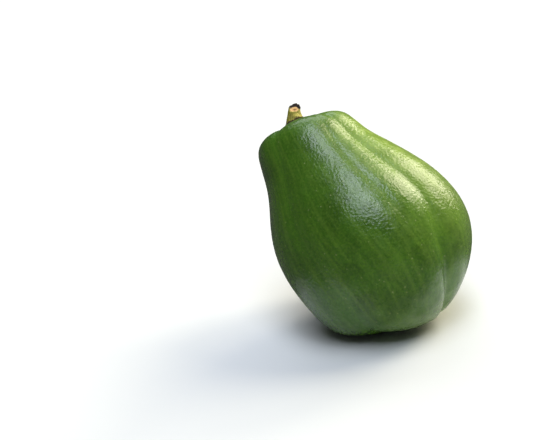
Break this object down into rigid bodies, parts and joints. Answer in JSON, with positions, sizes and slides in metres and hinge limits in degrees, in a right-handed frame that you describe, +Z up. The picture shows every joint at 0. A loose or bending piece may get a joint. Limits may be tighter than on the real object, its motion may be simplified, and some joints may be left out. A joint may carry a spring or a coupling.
{
  "type": "green papaya",
  "caption": "Whole unripe green papaya, pear-shaped with lobed waxy skin, leaning on its broad blossom end, with a cut stub of its stalk in a dried collar.",
  "frame": {"origin": "under the middle of the whole object, on the surface it rests on", "axes": "+Z up, along the longest extent; the broad front lobe faces -Y; +X level across the fruit, to the right when looking at that lobe; the stem end leans towards -X and +Y"},
  "size_m": [0.1352, 0.1296, 0.1476],
  "materials": {
    "skin": "waxy green fruit skin, satin sheen",
    "stalk": "olive-yellow green stalk, dry cut end",
    "calyx": "dried brown calyx"
  },
  "bodies": {
    "root": {"fruit": "skin", "stem_stub": "stalk", "calyx": "calyx"}
  },
  "joints": []
}
